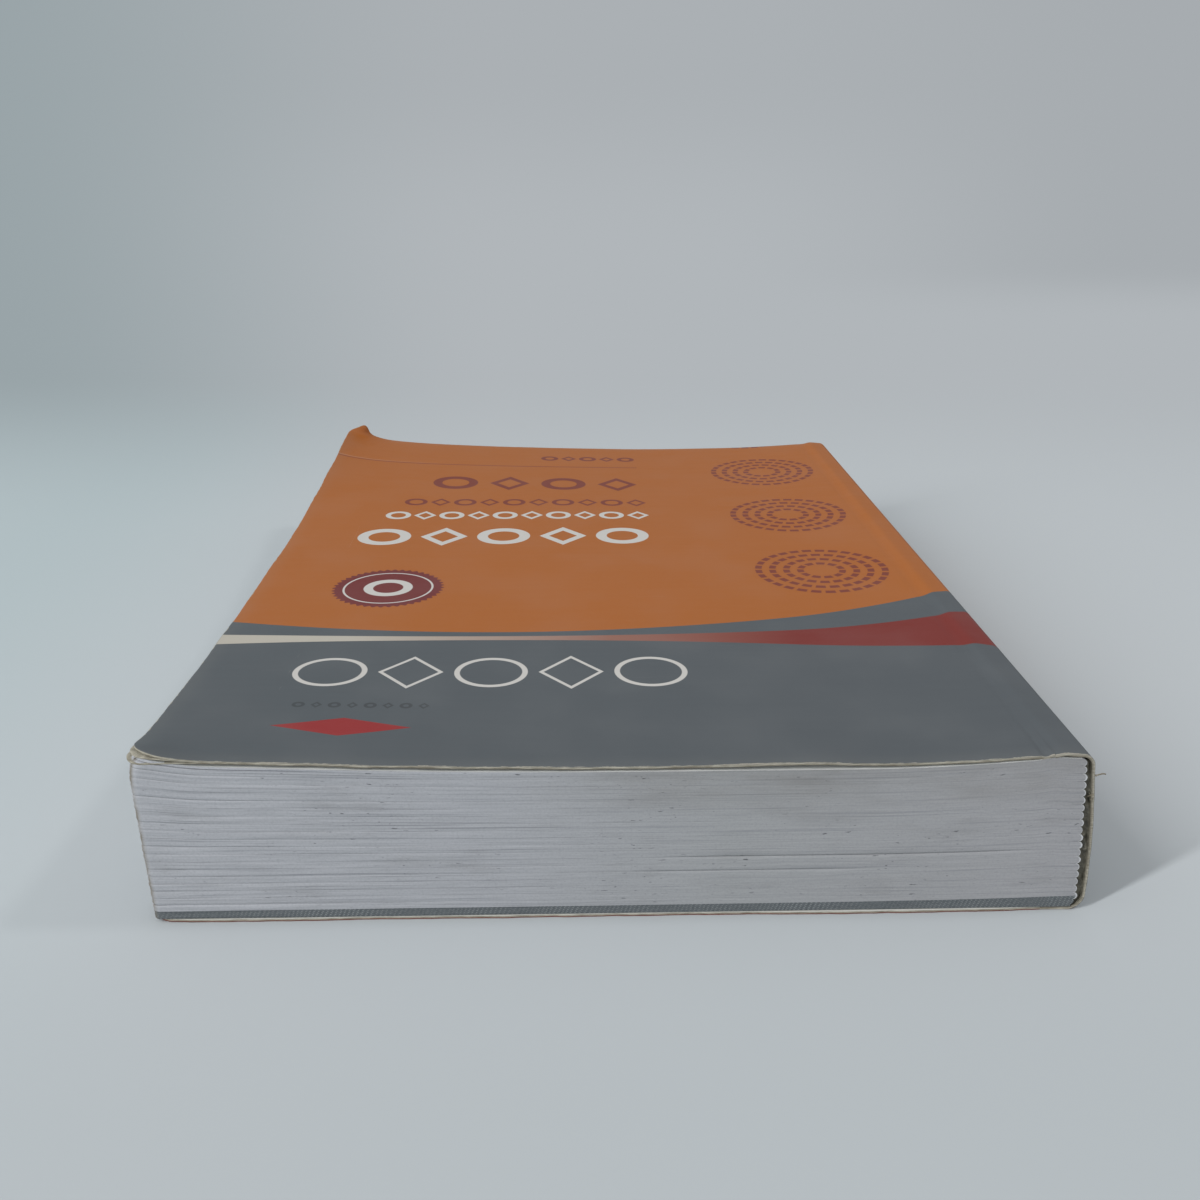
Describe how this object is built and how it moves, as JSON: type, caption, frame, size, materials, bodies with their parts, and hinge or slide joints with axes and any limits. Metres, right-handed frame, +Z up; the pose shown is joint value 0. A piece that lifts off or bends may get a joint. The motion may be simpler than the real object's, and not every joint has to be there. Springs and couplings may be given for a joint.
{
  "type": "paperback book",
  "caption": "Thick, well-used paperback lying closed, its wrap cover of printed card curled at the fore-edge and hinged at a score line on each side of the glued spine.",
  "frame": {"origin": "centre of the footprint, on the surface that the book lies on", "axes": "+X from the fore-edge towards the spine, +Y along the spine from head to tail, +Z up out of the front cover"},
  "size_m": [0.1494, 0.21, 0.0335],
  "materials": {
    "cover_card": "matt printed card, rubbed at the edges",
    "leaves": "cut edges of thin book paper",
    "adhesive": "dried, dull"
  },
  "bodies": {
    "book_block": {"page_block": "leaves", "spine_glue": "adhesive", "spine_cover": "cover_card"},
    "front_panel": {"front_cover": "cover_card"},
    "back_panel": {"back_cover": "cover_card"}
  },
  "joints": [
    {"name": "front_cover_hinge", "type": "hinge", "parent": "book_block", "child": "front_panel", "pos_m": [0.0656, 0, 0.0276], "axis": [0, 1, 0], "range_deg": [0, 165]},
    {"name": "back_cover_hinge", "type": "hinge", "parent": "book_block", "child": "back_panel", "pos_m": [0.0668, 0, 0], "axis": [0, -1, 0], "range_deg": [0, 165]}
  ]
}
